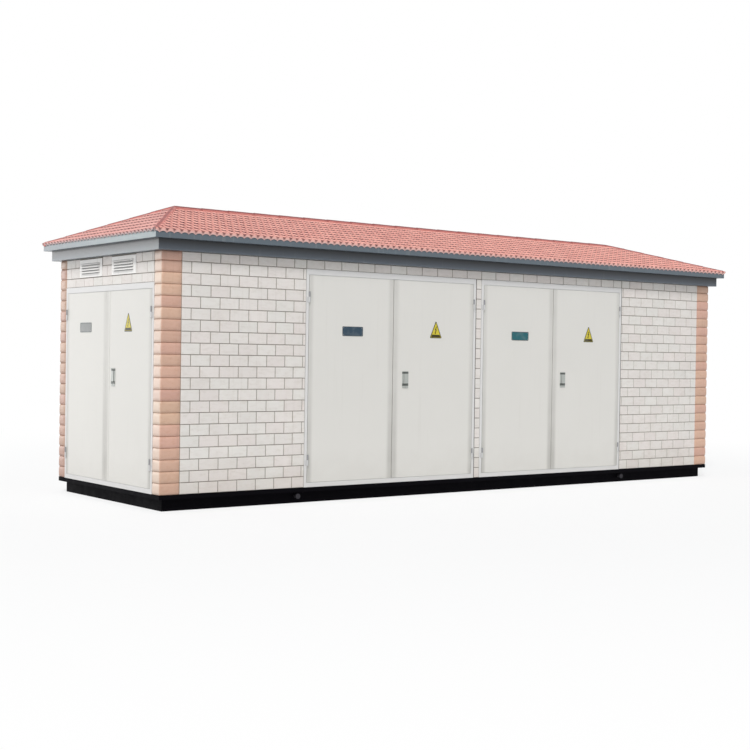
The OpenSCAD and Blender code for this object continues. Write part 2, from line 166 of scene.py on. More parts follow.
def quoin_stack(name, side_x, side_y):
    """Cushioned quoin blocks up one corner. In plan the path is a straight, a quarter circle and a straight,
    and the block stands out from it by a superellipse of its height times one of its length."""
    end_arm = half_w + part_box("left_end_lintel")[0].y
    front_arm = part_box("front_wall_left")[0].x + half_l
    bend = 0.010
    joint = 0.002
    swell_out = 0.0105
    quarter = bend * math.pi / 2
    length = end_arm + front_arm - 2 * bend + quarter
    t = 0.5 - 0.5 * np.cos(np.pi * np.linspace(0, 1, 7))
    corner_a = (end_arm - bend) / length
    corner_b = (end_arm - bend + quarter) / length
    a = np.concatenate([corner_a * (0.5 - 0.5 * np.cos(np.pi * np.linspace(0, 0.82, 5))) / 0.93,
                        np.linspace(corner_a, corner_b, 3),
                        1 - (1 - corner_b) * (0.5 + 0.5 * np.cos(np.pi * np.linspace(0.14, 1, 6)))])
    foot = base_z + course * np.arange(courses)[:, None, None]
    head = np.minimum(foot + course, wall_top)
    up, s = np.broadcast_arrays(foot + joint + (head - foot - 2 * joint) * t[None, :, None],
                                (0.0015 + (length - 0.003) * a)[None, None, :])
    swell = (1 - np.abs(2 * t - 1) ** 5)[None, :, None] ** 0.5 * (1 - np.abs(2 * a - 1) ** 18) ** 0.5
    out = -relief + swell_out * swell + np.zeros(up.shape)
    turn = np.clip((s - end_arm + bend) / quarter, 0, 1) * math.pi / 2
    reach = bend + out
    x = bend - reach * np.cos(turn) + np.maximum(s - end_arm + bend - quarter, 0)
    y = bend - reach * np.sin(turn) + np.maximum(end_arm - bend - s, 0)
    points = np.stack([side_x * (half_l - x), side_y * (half_w - y), up], axis=-1)
    quads = grid_quads(len(t), len(a), courses)
    if side_x * side_y < 0:
        quads = quads[:, ::-1]
    per_block = len(t) * len(a)
    add_piece(name, points, quads, "building", [quoin_finish], smooth=True,
              values={"tone": np.repeat(seed.uniform(0, 1, courses), per_block),
                      "hue": np.repeat(seed.uniform(0, 1, courses), per_block)})


def tile_sheet(name, foot, right, slope, low_half, high_half, span, lip, material):
    """Wave tiles on one deck. Across the slope the height is a round crest, |cos| to the power 0.8, and up
    the slope each course falls from its foot to its head by a step, so that it laps over the one below. The
    columns outside the hips are drawn in to them, and the last 90 mm flatten out under the cap tiles. The
    lowest course ends in a lip of even depth, which hangs over the trim."""
    pitch, row, steps = 0.079, 0.147, 8
    overhang, bedding, crest, step, flat = 0.012, 0.0015, 0.0180, 0.0110, 0.09
    most = (math.ceil(low_half / pitch) + 1) * steps
    across = np.arange(-most, most + 1) * pitch / steps
    shares = np.array([0, 0.12, 0.45, 0.8, 1])
    rows = math.ceil((span + overhang) / row)
    v = (-overhang + row * (np.arange(rows)[:, None] + shares)).ravel()
    share = np.tile(shares, rows)
    keep = v <= span
    v = np.append(v[keep], span)
    share = np.append(share[keep], min(1, (span + overhang) / row - rows + 1))
    v = np.concatenate([[v[0]] * 2, v])
    share = np.concatenate([[share[0]] * 2, share])
    half = low_half - (low_half - high_half) * v / span
    s = np.clip(across[None, :], -half[:, None], half[:, None])
    wave = np.abs(np.cos(math.pi * s / pitch)) ** 0.8
    height = bedding + crest * wave + step * (1 - share[:, None]) ** 0.8
    height *= np.clip((span - v[:, None]) / flat, 0.4, 1)
    height[0] -= lip
    height[1] -= 0.2 * lip
    up = np.cross(right, slope)
    points = (np.array(foot) + s[..., None] * np.array(right) + v[:, None, None] * np.array(slope)
              + height[..., None] * up)
    quads = grid_quads(len(v), len(across))
    kept = np.ptp(s.ravel()[quads], axis=1) > 1e-5
    lap = np.broadcast_to(share[:, None] ** 3 + 0.8 * (share[:, None] == 0), s.shape).copy()
    lap[:2] = 0
    eave = np.zeros(s.shape)
    eave[:2] = np.array([1, 0.3])[:, None]
    column = np.floor(s / pitch + 0.5)
    band = np.maximum(np.floor((v[:, None] + 0.011) / row), 0)
    tone = np.mod(np.abs(np.sin(column * 12.9898 + band * 78.233) * 43758.5), 1)
    add_piece(name, points, quads[kept], "building", [material], smooth=True,
              values={"tone": tone, "hue": tone, "lap": lap, "eave": eave, "valley": 1 - wave})


def cap_row(name, start, end, tiles, materials):
    """Half-round cap tiles in a row from a low end to a high one. Each is an arc of 216 degrees carried
    along the line, whose radius shrinks by the lap from foot to head. A flat face of the last material
    closes either end."""
    radius, lap, turns = 0.040, 0.003, 14
    start, end = np.array(start, float), np.array(end, float)
    along = (end - start) / np.linalg.norm(end - start)
    side = np.cross(along, (0, 0, 1))
    side /= np.linalg.norm(side)
    up = np.cross(side, along)
    place = np.linspace(0, 1, tiles + 1)
    t = np.stack([place[:-1], place[:-1] + 0.02 / tiles, place[1:]], axis=1).ravel()
    r = radius - lap * np.tile([0.25, 0.0, 1.0], tiles)
    angle = np.linspace(-0.6 * math.pi, 0.6 * math.pi, turns)
    points = (start + t[:, None, None] * (end - start)
              + r[:, None, None] * (np.sin(angle)[None, :, None] * side + np.cos(angle)[None, :, None] * up))
    quads = [list(q) for q in grid_quads(3 * tiles, turns)]
    ends = [list(range(turns))[::-1], list(range((3 * tiles - 1) * turns, 3 * tiles * turns))]
    tone = np.repeat(seed.uniform(0, 1, tiles), 3 * turns)
    ring = np.tile([0.9, 0.0, 1.0], tiles).repeat(turns)
    kinds = [0] * len(quads) + [len(materials) - 1] * 2
    add_piece(name, points, quads + ends, "building", materials, kinds=kinds,
              values={"tone": tone, "hue": tone, "lap": ring})


def rectangle(half, low, high):
    """The corners of a rectangle that reaches as far to either side of its middle."""
    return np.array([(-half, low), (half, low), (half, high), (-half, high)])


def rounded_outline(corners, radius):
    """A polygon with round corners, counterclockwise: at each corner an arc of the radius, centred where the
    two sides set in by the radius cross, turns from one side's direction to the next."""
    points = np.array(corners, float)
    ahead = np.roll(points, -1, axis=0) - points
    ahead /= np.linalg.norm(ahead, axis=1)[:, None]
    behind = np.roll(ahead, 1, axis=0)
    sine = behind[:, 0] * ahead[:, 1] - behind[:, 1] * ahead[:, 0]
    turn = np.arctan2(sine, np.sum(behind * ahead, axis=1))
    inward = (ahead - behind) / np.linalg.norm(ahead - behind, axis=1)[:, None]
    centres = points + inward * (radius / np.cos(turn / 2))[:, None]
    start = np.arctan2(-behind[:, 0], behind[:, 1])
    angles = start[:, None] + turn[:, None] * np.linspace(0, 1, 5)
    arcs = centres[:, None, :] + radius * np.stack([np.cos(angles), np.sin(angles)], axis=-1)
    return arcs.reshape(-1, 2)


def inset(outline, distance):
    """The outline drawn in: each point moves along the mean of its two sides' inward normals."""
    before = outline - np.roll(outline, 1, axis=0)
    after = np.roll(outline, -1, axis=0) - outline
    first, second = (np.stack([-e[:, 1], e[:, 0]], axis=1) / np.linalg.norm(e, axis=1)[:, None]
                     for e in (before, after))
    mean = first + second
    mean /= np.sum(mean * first, axis=1)[:, None]
    return outline + distance * mean


def plate(name, face, centre, outline, rings, body, materials, kinds):
    """A thin plate on a wall face: its outline is drawn in ring by ring as it rises, and the last ring is
    closed by one face. Each band between rings, and the last face, has its own material number."""
    loops = [inset(outline, distance) for distance, _ in rings]
    flat = np.stack(loops) + np.array(centre)
    out = np.repeat(np.array([rise for _, rise in rings])[:, None], len(outline), axis=1)
    points = on_face(face, flat[..., 0], flat[..., 1], out)
    count = len(outline)
    polygons = [list(q) for q in grid_quads(len(rings), count, closed=True)]
    polygons.append(list(range((len(rings) - 1) * count, len(rings) * count)))
    numbers = [k for k in kinds[:-1] for _ in range(count)] + [kinds[-1]]
    add_piece(name, points, polygons, body, materials, kinds=numbers)


def rivets(name, face, centres, radius, rise, body, material):
    """Round rivet heads: a quarter circle turned about the normal of the face, closed at the top."""
    turns, rings = 10, 3
    tilt = np.arange(rings)[:, None] / rings * math.pi / 2
    spin = np.arange(turns)[None, :] / turns * 2 * math.pi
    centres = np.array(centres)
    across = centres[:, 0, None, None] + radius * np.cos(tilt) * np.cos(spin)
    up = centres[:, 1, None, None] + radius * np.cos(tilt) * np.sin(spin)
    out = centres[:, 2, None, None] + rise * np.sin(tilt) + 0 * spin
    points = on_face(face, across, up, out)
    polygons = [list(q) for q in grid_quads(rings, turns, len(centres), closed=True)]
    starts = turns * (rings * np.arange(len(centres)) + rings - 1)
    polygons += [list(range(start, start + turns)) for start in starts]
    add_piece(name, points, polygons, body, [material], smooth=True)


# Shader helpers

class Nodes:
    """Adds nodes to a node tree. An input is given as a value or as the output socket that feeds it."""

    def __init__(self, tree):
        self.tree = tree

    def add(self, kind, inputs=None, **settings):
        node = self.tree.nodes.new(kind)
        for label, value in settings.items():
            setattr(node, label, value)
        for label, value in (inputs or {}).items():
            if isinstance(value, bpy.types.NodeSocket):
                self.tree.links.new(value, node.inputs[label])
            else:
                node.inputs[label].default_value = value
        return node

    def math(self, operation, a, b=0.0, clamp=False):
        return self.add("ShaderNodeMath", {0: a, 1: b}, operation=operation, use_clamp=clamp).outputs[0]

    def span(self, value, low, high, to_low=0.0, to_high=1.0):
        """Maps the span from low to high onto another one, smoothly and without passing its ends."""
        return self.add("ShaderNodeMapRange", {"Value": value, "From Min": low, "From Max": high,
                                               "To Min": to_low, "To Max": to_high},
                        interpolation_type="SMOOTHSTEP").outputs["Result"]

    def mix(self, share, a, b):
        node = self.add("ShaderNodeMix", data_type="RGBA", clamp_factor=True)
        for index, value in ((0, share), (6, a), (7, b)):
            if isinstance(value, bpy.types.NodeSocket):
                self.tree.links.new(value, node.inputs[index])
            else:
                node.inputs[index].default_value = value
        return node.outputs[2]

    def noise(self, scale, detail=3.0, roughness=0.5, stretch=(1, 1, 1)):
        """Noise on object coordinates, stretched along each axis."""
        place = self.add("ShaderNodeTexCoord").outputs["Object"]
        mapped = self.add("ShaderNodeMapping", {"Vector": place, "Scale": stretch}).outputs["Vector"]
        return self.add("ShaderNodeTexNoise", {"Vector": mapped, "Scale": scale, "Detail": detail,
                                               "Roughness": roughness}).outputs["Fac"]

    def place(self):
        """Object coordinates, split into X, Y and Z."""
        spot = self.add("ShaderNodeTexCoord").outputs["Object"]
        return self.add("ShaderNodeSeparateXYZ", {"Vector": spot}).outputs

    def facing(self, label="Normal"):
        """The normal, or the true one, split into X, Y and Z."""
        normal = self.add("ShaderNodeNewGeometry").outputs[label]
        return self.add("ShaderNodeSeparateXYZ", {"Vector": normal}).outputs

    def attribute(self, label):
        """The number that a mesh carries at each point under this name."""
        return self.add("ShaderNodeAttribute", attribute_name=label).outputs["Fac"]

    def scaled(self, colour, level):
        return self.add("ShaderNodeVectorMath", {0: colour, "Scale": level}, operation="SCALE").outputs[0]


def rgb(red, green, blue):
    """A colour given as it shows on a screen, from 0 to 255, turned into linear light."""
    levels = np.array([red, green, blue]) / 255
    linear = np.where(levels <= 0.04045, levels / 12.92, ((levels + 0.055) / 1.055) ** 2.4)
    return (*linear.tolist(), 1.0)


def new_group(name, inputs, outputs):
    """A shader group with named inputs and outputs, and its input and output nodes."""
    tree = bpy.data.node_groups.new(name, "ShaderNodeTree")
    for label, kind, value in inputs:
        socket = tree.interface.new_socket(label, in_out="INPUT", socket_type=kind)
        socket.default_value = value
    for label, kind in outputs:
        tree.interface.new_socket(label, in_out="OUTPUT", socket_type=kind)
    nodes = Nodes(tree)
    return nodes, nodes.add("NodeGroupInput").outputs, nodes.add("NodeGroupOutput").inputs


def build_grain():
    """Fine grain: a fine and a broad noise in the colour, and the fine one as a height."""
    nodes, given, result = new_group("fine_grain", [
        ("Color", "NodeSocketColor", (0.5, 0.5, 0.5, 1)), ("Scale", "NodeSocketFloat", 200.0),
        ("Spread", "NodeSocketFloat", 0.1)],
        [("Color", "NodeSocketColor"), ("Height", "NodeSocketFloat")])
    spot = nodes.add("ShaderNodeTexCoord").outputs["Object"]
    fine, broad = (
        nodes.add("ShaderNodeTexNoise", {"Vector": spot, "Scale": scale, "Detail": detail}).outputs["Fac"]
        for scale, detail in ((given["Scale"], 4.0), (2.3, 3.0)))
    both = nodes.math("ADD", nodes.math("MULTIPLY", fine, 0.6), nodes.math("MULTIPLY", broad, 0.8))
    lighter = nodes.math("MULTIPLY", nodes.math("SUBTRACT", both, 0.7), given["Spread"])
    scaled = nodes.scaled(given["Color"], nodes.math("ADD", lighter, 1.0))
    nodes.tree.links.new(scaled, result["Color"])
    nodes.tree.links.new(fine, result["Height"])
    return nodes.tree


def build_weather():
    """Weather: splashed dirt that fades upwards from the base, and thin streaks that run down."""
    nodes, given, result = new_group("weather", [
        ("Color", "NodeSocketColor", (0.5, 0.5, 0.5, 1)), ("Dirt", "NodeSocketColor", (0.2, 0.17, 0.13, 1)),
        ("Splash", "NodeSocketFloat", 0.3), ("Streaks", "NodeSocketFloat", 0.15)],
        [("Color", "NodeSocketColor"), ("Mask", "NodeSocketFloat")])
    up = nodes.place()["Z"]
    patches = nodes.noise(5.0, 5.0, 0.6)
    fade = nodes.span(nodes.math("ADD", up, nodes.math("MULTIPLY", patches, 0.5)), 0.32, 0.85, 1.0, 0.0)
    lines = nodes.span(nodes.noise(1.0, 4.0, 0.55, (26, 26, 0.9)), 0.56, 0.78)
    splash = nodes.math("MULTIPLY", fade, given["Splash"])
    streaks = nodes.math("MULTIPLY", lines, given["Streaks"])
    mask = nodes.math("MAXIMUM", splash, streaks, clamp=True)
    nodes.tree.links.new(nodes.mix(mask, given["Color"], given["Dirt"]), result["Color"])
    nodes.tree.links.new(mask, result["Mask"])
    return nodes.tree


def build_edges():
    """Edge mask, for wear and for painted highlights: where the rounded normal leans away from the true one,
    broken up by noise.
    """
    nodes, given, result = new_group("edge_wear_and_highlight", [
        ("Radius", "NodeSocketFloat", 0.003), ("Amount", "NodeSocketFloat", 0.5)],
        [("Mask", "NodeSocketFloat"), ("Normal", "NodeSocketVector")])
    round_normal = nodes.add("ShaderNodeBevel", {"Radius": given["Radius"]}, samples=4).outputs["Normal"]
    true_normal = nodes.add("ShaderNodeNewGeometry").outputs["True Normal"]
    lean = nodes.add("ShaderNodeVectorMath", {0: round_normal, 1: true_normal}, operation="DOT_PRODUCT")
    edge = nodes.span(lean.outputs["Value"], 0.70, 0.995, 1.0, 0.0)
    broken = nodes.span(nodes.noise(38.0, 4.0, 0.6), 0.42, 0.62)
    mask = nodes.math("MULTIPLY", nodes.math("MULTIPLY", edge, broken), given["Amount"], clamp=True)
    nodes.tree.links.new(mask, result["Mask"])
    nodes.tree.links.new(round_normal, result["Normal"])
    return nodes.tree


def build_batch():
    """Batch colour: each block, slip or tile has its own tone and hue, read from attributes on its mesh."""
    nodes, given, result = new_group("batch_colour", [
        ("Color", "NodeSocketColor", (0.5, 0.5, 0.5, 1)), ("Second", "NodeSocketColor", (0.5, 0.4, 0.3, 1)),
        ("Hues", "NodeSocketFloat", 0.5), ("Tones", "NodeSocketFloat", 0.1)],
        [("Color", "NodeSocketColor")])
    hue = nodes.math("MULTIPLY", nodes.attribute("hue"), given["Hues"])
    mixed = nodes.mix(hue, given["Color"], given["Second"])
    tone = nodes.math("MULTIPLY", nodes.math("SUBTRACT", nodes.attribute("tone"), 0.5), given["Tones"])
    nodes.tree.links.new(nodes.scaled(mixed, nodes.math("ADD", tone, 1.0)), result["Color"])
    return nodes.tree


grain_group = build_grain()
weather_group = build_weather()
edge_group = build_edges()
batch_group = build_batch()


class Finish:
    """A material in the making: a Principled BSDF, and calls that pass its colour through the groups."""

    def __init__(self, name, colour, roughness, **constants):
        self.material = bpy.data.materials.new(name)
        self.material.use_nodes = True
        tree = self.material.node_tree
        tree.nodes.clear()
        self.nodes = Nodes(tree)
        self.shader = self.nodes.add("ShaderNodeBsdfPrincipled", {"Roughness": roughness})
        for label, value in constants.items():
            self.shader.inputs[label.replace("_", " ")].default_value = value
        self.surface = self.nodes.add("ShaderNodeOutputMaterial").inputs["Surface"]
        tree.links.new(self.shader.outputs["BSDF"], self.surface)
        self.colour = colour
        self.roughness = roughness
        self.normal = None

    def group(self, tree, **inputs):
        return self.nodes.add("ShaderNodeGroup", inputs, node_tree=tree).outputs

    def batch(self, second, hues, tones):
        """A share of a second colour and a tone for each block."""
        made = self.group(batch_group, Color=self.colour, Second=second, Hues=hues, Tones=tones)
        self.colour = made["Color"]
        return self

    def grain(self, scale, spread, depth):
        """Fine grain in the colour, which is also the bump."""
        made = self.group(grain_group, Color=self.colour, Scale=scale, Spread=spread)
        self.colour = made["Color"]
        self.height = made["Height"]
        self.depth = depth
        return self

    def weather(self, dirt, splash, streaks):
        """Dirt that is rougher than what it lies on."""
        made = self.group(weather_group, Color=self.colour, Dirt=dirt, Splash=splash, Streaks=streaks)
        self.colour = made["Color"]
        low = self.roughness
        self.roughness = self.nodes.span(made["Mask"], 0.0, 0.8, low, min(low + 0.3, 0.95))
        return self

    def edges(self, colour, radius, amount):
        """Edges of another colour, worn or with a painted highlight, and round ones in the light."""
        made = self.group(edge_group, Radius=radius, Amount=amount)
        self.colour = self.nodes.mix(made["Mask"], self.colour, colour)
        self.normal = made["Normal"]
        return self

    def mottle(self, scale, stretch, amount, colour):
        """Clouds of a second colour, drawn out along one axis."""
        clouds = self.nodes.span(self.nodes.noise(scale, 4.0, 0.6, stretch), 0.42, 0.78, 0.0, amount)
        return self.over(clouds, colour)

    def ends(self, lean, amount, colour, behind):
        """Painted light in a second colour on what faces along the building, by one amount in front and
        another behind.
        """
        most = self.nodes.span(self.nodes.place()["Y"], -1.0, 1.1, amount, behind)
        share = self.nodes.span(self.nodes.math("ABSOLUTE", self.nodes.facing()["X"]), 0.5, lean)
        return self.over(self.nodes.math("MULTIPLY", share, most), colour)

    def over(self, mask, colour):
        """Another colour over the one so far, where the mask is 1."""
        self.colour = self.nodes.mix(mask, self.colour, colour)
        return self

    def done(self):
        """The material, with all that was made linked to its shader."""
        tree = self.nodes.tree
        bump = self.nodes.add("ShaderNodeBump", {"Height": self.height, "Distance": self.depth,
                                                 "Strength": 1.0})
        if self.normal is not None:
            tree.links.new(self.normal, bump.inputs["Normal"])
        tree.links.new(bump.outputs["Normal"], self.shader.inputs["Normal"])
        tree.links.new(self.colour, self.shader.inputs["Base Color"])
        if isinstance(self.roughness, bpy.types.NodeSocket):
            tree.links.new(self.roughness, self.shader.inputs["Roughness"])
        else:
            varied = self.nodes.span(self.nodes.noise(9.0, 4.0), 0.3, 0.7, self.roughness - 0.05,
                                     self.roughness + 0.07)
            tree.links.new(varied, self.shader.inputs["Roughness"])
        return self.material


# Finishes

def inner_share(nodes):
    """1 on the inner skin of the walls and 0 on the outer one, by the distance from the middle."""
    spot = nodes.place()
    deep_y = nodes.math("LESS_THAN", nodes.math("ABSOLUTE", spot["Y"]), half_w - relief - 0.004)
    deep_x = nodes.math("LESS_THAN", nodes.math("ABSOLUTE", spot["X"]), half_l - relief - 0.004)
    return nodes.math("MULTIPLY", deep_y, deep_x)


def between(nodes, value, low, high, blur):
    """1 between two limits and 0 outside them, with soft ends."""
    rise = nodes.span(value, low - blur, low + blur)
    fall = nodes.span(value, high - blur, high + blur)
    return nodes.math("SUBTRACT", rise, fall)


def wall_backing(name, mortar):
    """Mortar outside and pale painted sheet inside."""
    finish = Finish(name, mortar, 0.85)
    finish.grain(420.0, 0.5, 0.0006)
    finish.weather(rgb(112, 100, 86), 0.35, 0.25)
    finish.over(inner_share(finish.nodes), rgb(214, 215, 213))
    return finish.done()


def painted_sheet(name, colour, dirt, splash, streaks, roughness=0.42, edge=None, **constants):
    """Powder-coated sheet: faint orange peel, a little dirt, and worn edges, or a painted highlight on them.
    """
    finish = Finish(name, colour, roughness, **constants)
    finish.grain(900.0, 0.035, 0.00005)
    finish.weather(dirt, splash, streaks)
    # Edges worn in the dirt's colour, or a painted highlight where a pale edge colour is given
    finish.edges(edge or dirt, 0.0035, 0.45)
    return finish


def leaf_material(name, axis, lines, proud, depth):
    """A door leaf: darker in a soft band along each upright edge, more so low down, and the knuckles,
    which stand proud of the sheet, are grey steel."""
    finish = painted_sheet(name, door_colour, pale_dirt, 0.10, 0.04, 0.50, edge_highlight, Specular_IOR_Level=0.2)
    nodes = finish.nodes
    spot = nodes.place()
    nearest = None
    for line in lines:
        away = nodes.math("ABSOLUTE", nodes.math("SUBTRACT", spot[axis], line))
        nearest = away if nearest is None else nodes.math("MINIMUM", nearest, away)
    band = nodes.span(nearest, 0.030, 0.085, 1.0, 0.0)
    patchy = nodes.math("MULTIPLY", nodes.span(nodes.noise(4.0, 4.0), 0.3, 0.7, 0.75, 1.0),
                        nodes.span(spot["Z"], 0.2, 1.6, depth, 0.55 * depth))
    finish.over(nodes.math("MULTIPLY", band, patchy), rgb(120, 118, 112))
    across = "Y" if axis == "X" else "X"
    finish.over(nodes.math("LESS_THAN", spot[across], proud), rgb(146, 147, 149))
    return finish.done()


brick_finish = (Finish("brick_slip", rgb(222, 219, 214), 0.62)
                .batch(rgb(222, 214, 210), 0.8, 0.05)
                .grain(160.0, 0.12, 0.0005)
                .mottle(14.0, (1, 1, 2.5), 0.30, rgb(192, 183, 172))
                .weather(rgb(150, 138, 120), 0.22, 0.10)
                .done())
# End faces of the quoins: a painted sheen towards the front and painted shade towards the back
quoin_finish = (Finish("quoin_block", rgb(206, 172, 148), 0.42, IOR=1.55)
                .batch(rgb(203, 159, 144), 0.9, 0.10)
                .grain(120.0, 0.16, 0.0008)
                .mottle(16.0, (1, 1, 2.0), 0.35, rgb(186, 138, 112))
                .weather(rgb(140, 104, 84), 0.15, 0.22)
                .ends(0.9, 0.38, rgb(240, 232, 218), 0.0)
                .ends(0.9, 0.0, rgb(140, 122, 112), 0.34)
                .done())
wall_finish = wall_backing("wall_panel", rgb(148, 142, 134))
corner_finish = wall_backing("quoin_bed", rgb(140, 100, 80))


def tile_material(name, colour, second, lip_colour):
    """Matt tiles, each of its own tone, with painted shade in the valleys and under each lap, and a painted
    highlight at the lip.
    """
    finish = Finish(name, colour, 0.62)
    finish.batch(second, 0.8, 0.14)
    finish.grain(90.0, 0.22, 0.0006)
    nodes = finish.nodes
    lap = nodes.attribute("lap")
    valley = nodes.attribute("valley")
    eave = nodes.attribute("eave")
    # Painted shade in the valleys and at the foot of each lap, broken up by noise
    blotch = nodes.span(nodes.noise(11.0, 4.0, 0.6), 0.35, 0.7, 0.75, 1.0)
    deep = nodes.math("MULTIPLY", nodes.span(valley, 0.12, 0.60), 0.95)
    seam = nodes.math("MULTIPLY", nodes.span(lap, 0.2, 0.6), nodes.span(valley, 0.02, 0.30, 0.25, 1.0))
    shade = nodes.math("MULTIPLY", nodes.math("MAXIMUM", deep, seam), blotch, clamp=True)
    finish.over(shade, rgb(76, 18, 26))
    # Painted highlight on the lip at the eave
    finish.over(nodes.span(eave, 0.1, 0.9, 0.0, 0.8), lip_colour)
    return finish.done()


def cap_material(name, crown_low, crown_high, crown_shade):
    """Ridge or hip caps: the tiles' colour, with painted shade at each lap and along the crown, which is
    told by how far the normal points up."""
    finish = Finish(name, rgb(208, 130, 122), 0.62)
    finish.grain(80.0, 0.25, 0.0006)
    nodes = finish.nodes
    # Painted shade along the crown
    finish.over(nodes.span(nodes.facing()["Z"], crown_low, crown_high, 0.0, crown_shade), rgb(104, 46, 48))
    # Painted shade where the cap tiles lap
    finish.over(nodes.span(nodes.attribute("lap"), 0.8, 1.0, 0.0, 0.4), rgb(112, 44, 44))
    finish.over(nodes.span(nodes.noise(7.0, 5.0, 0.6), 0.45, 0.75, 0.0, 0.3), rgb(150, 86, 80))
    return finish.done()


def deck_material():
    """The roof deck under the tiles: dark boarding felt with a coarse grain."""
    finish = Finish("roof_felt", rgb(84, 48, 44), 0.85)
    finish.grain(300.0, 0.5, 0.0005)
    return finish.done()


def base_material():
    """Bitumen-black paint on rolled steel, dusty where it faces up."""
    finish = Finish("base_black", rgb(8, 7, 11), 0.60, Specular_IOR_Level=0.03)
    finish.grain(240.0, 0.5, 0.0004)
    nodes = finish.nodes
    dust = nodes.span(nodes.noise(6.0, 5.0), 0.3, 0.7, 0.15, 0.5)
    lies = nodes.span(nodes.facing("True Normal")["Z"], 0.4, 0.95)
    finish.over(nodes.math("MULTIPLY", lies, dust), rgb(64, 58, 56))
    finish.edges(rgb(36, 30, 32), 0.004, 0.5)
    return finish.done()


def floor_material():
    """Grey floor paint, scuffed by feet and trolleys."""
    finish = Finish("floor_paint", rgb(142, 145, 147), 0.48)
    finish.grain(300.0, 0.25, 0.0003)
    nodes = finish.nodes
    scuffs = nodes.span(nodes.noise(3.0, 6.0, 0.65, (1, 6, 1)), 0.52, 0.74, 0.0, 0.6)
    finish.over(scuffs, rgb(104, 104, 102))
    return finish.done()


def metal_material(name, colour, roughness, streak_colour, dark_bands=()):
    """Brushed metal: fine lines along the height, and darker bands between pairs of heights."""
    finish = Finish(name, colour, roughness, Metallic=0.35)
    nodes = finish.nodes
    brushed = nodes.noise(700.0, 2.0, 0.5, (1, 1, 0.02))
    finish.grain(500.0, 0.15, 0.0001)
    finish.over(nodes.span(brushed, 0.4, 0.7, 0.0, 0.25), streak_colour)
    finish.edges(rgb(228, 230, 230), 0.0015, 0.5)
    for low, high in dark_bands:
        finish.over(between(nodes, nodes.place()["Z"], low, high, 0.001), rgb(98, 102, 98))
    return finish.done()


def enamel(name, colour, roughness=0.35):
    """Enamel, rubber or a strip of painted shadow on a small piece: a faint grain under thin pale clouds."""
    finish = Finish(name, colour, roughness, Specular_IOR_Level=0.25)
    finish.grain(350.0, 0.12, 0.00005)
    nodes = finish.nodes
    finish.over(nodes.span(nodes.noise(16.0, 3.0), 0.4, 0.75, 0.0, 0.16), rgb(150, 155, 155))
    return finish.done()


# The end slopes take a darker copy of the tiles as painted shade; the pale lips are a painted highlight,
# fainter on the ends
tile_finish = tile_material("wave_tile", rgb(244, 172, 160), rgb(246, 180, 166), rgb(228, 188, 181))
end_tile_finish = tile_material("end_wave_tile", rgb(226, 166, 158), rgb(228, 173, 164), rgb(198, 182, 182))
# The caps carry painted shade along the crown: wide bands on the ridge and three hips, a narrow one on the
# front left hip
ridge_finish = cap_material("ridge_cap_tile", 0.30, 0.75, 0.85)
hip_finish = cap_material("hip_cap_tile", 0.88, 0.95, 0.7)
dark_hip_finish = cap_material("dark_hip_cap_tile", 0.40, 0.80, 0.8)
pale_dirt = rgb(150, 142, 128)
# Paler than the paint, on the edges of the pale doors and frames: a painted highlight
edge_highlight = rgb(240, 240, 238)
door_colour = rgb(218, 216, 211)
frame_finish = painted_sheet("frame_paint", rgb(217, 216, 215), pale_dirt, 0.12, 0.06, 0.50, edge_highlight,
                             Specular_IOR_Level=0.2).done()
ceiling_finish = painted_sheet("ceiling_paint", rgb(205, 206, 205), pale_dirt, 0.0, 0.1).done()
# Pale teal on the trim's end faces, most at the front: a painted sheen
trim_finish = (painted_sheet("trim_paint", rgb(87, 98, 107), rgb(150, 154, 152), 0.0, 0.30, 0.28)
               .ends(0.9, 0.35, rgb(178, 196, 194), 0.07).done())
lock_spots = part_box("left_bay_lock")
lock_finish = metal_material("lock_steel", rgb(176, 179, 175), 0.45, rgb(140, 144, 142),
                             [(lock_spots[0].z + 0.024, lock_spots[0].z + 0.052),
                              (lock_spots[1].z - 0.027, lock_spots[1].z - 0.004)])
rivet_finish = metal_material("rivet_steel", rgb(186, 189, 187), 0.40, rgb(140, 144, 142))
hinge_finish = painted_sheet("hinge_paint", rgb(200, 200, 200), rgb(130, 130, 130), 0.0, 0.30, 0.50).done()
pin_finish = painted_sheet("lifting_paint", rgb(44, 43, 49), rgb(70, 66, 66), 0.15, 0.10, 0.60,
                           Specular_IOR_Level=0.2).done()


def fascia_material():
    """Blue-grey fascia, with a painted sheen on its end faces and painted shadow under the trim's soffit."""
    finish = painted_sheet("fascia_paint", rgb(86, 95, 105), rgb(122, 126, 128), 0.0, 0.26, 0.28)
    nodes = finish.nodes
    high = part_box("fascia")[1].z
    # Painted sheen on the end faces, most at the front
    finish.ends(0.9, 0.3, rgb(176, 186, 186), 0.06)
    # Painted shadow under the trim's soffit, darkest at the top of the fascia
    finish.over(nodes.span(nodes.place()["Z"], high - 0.115, high - 0.005, 0.0, 0.92), rgb(14, 16, 22))
    return finish.done()


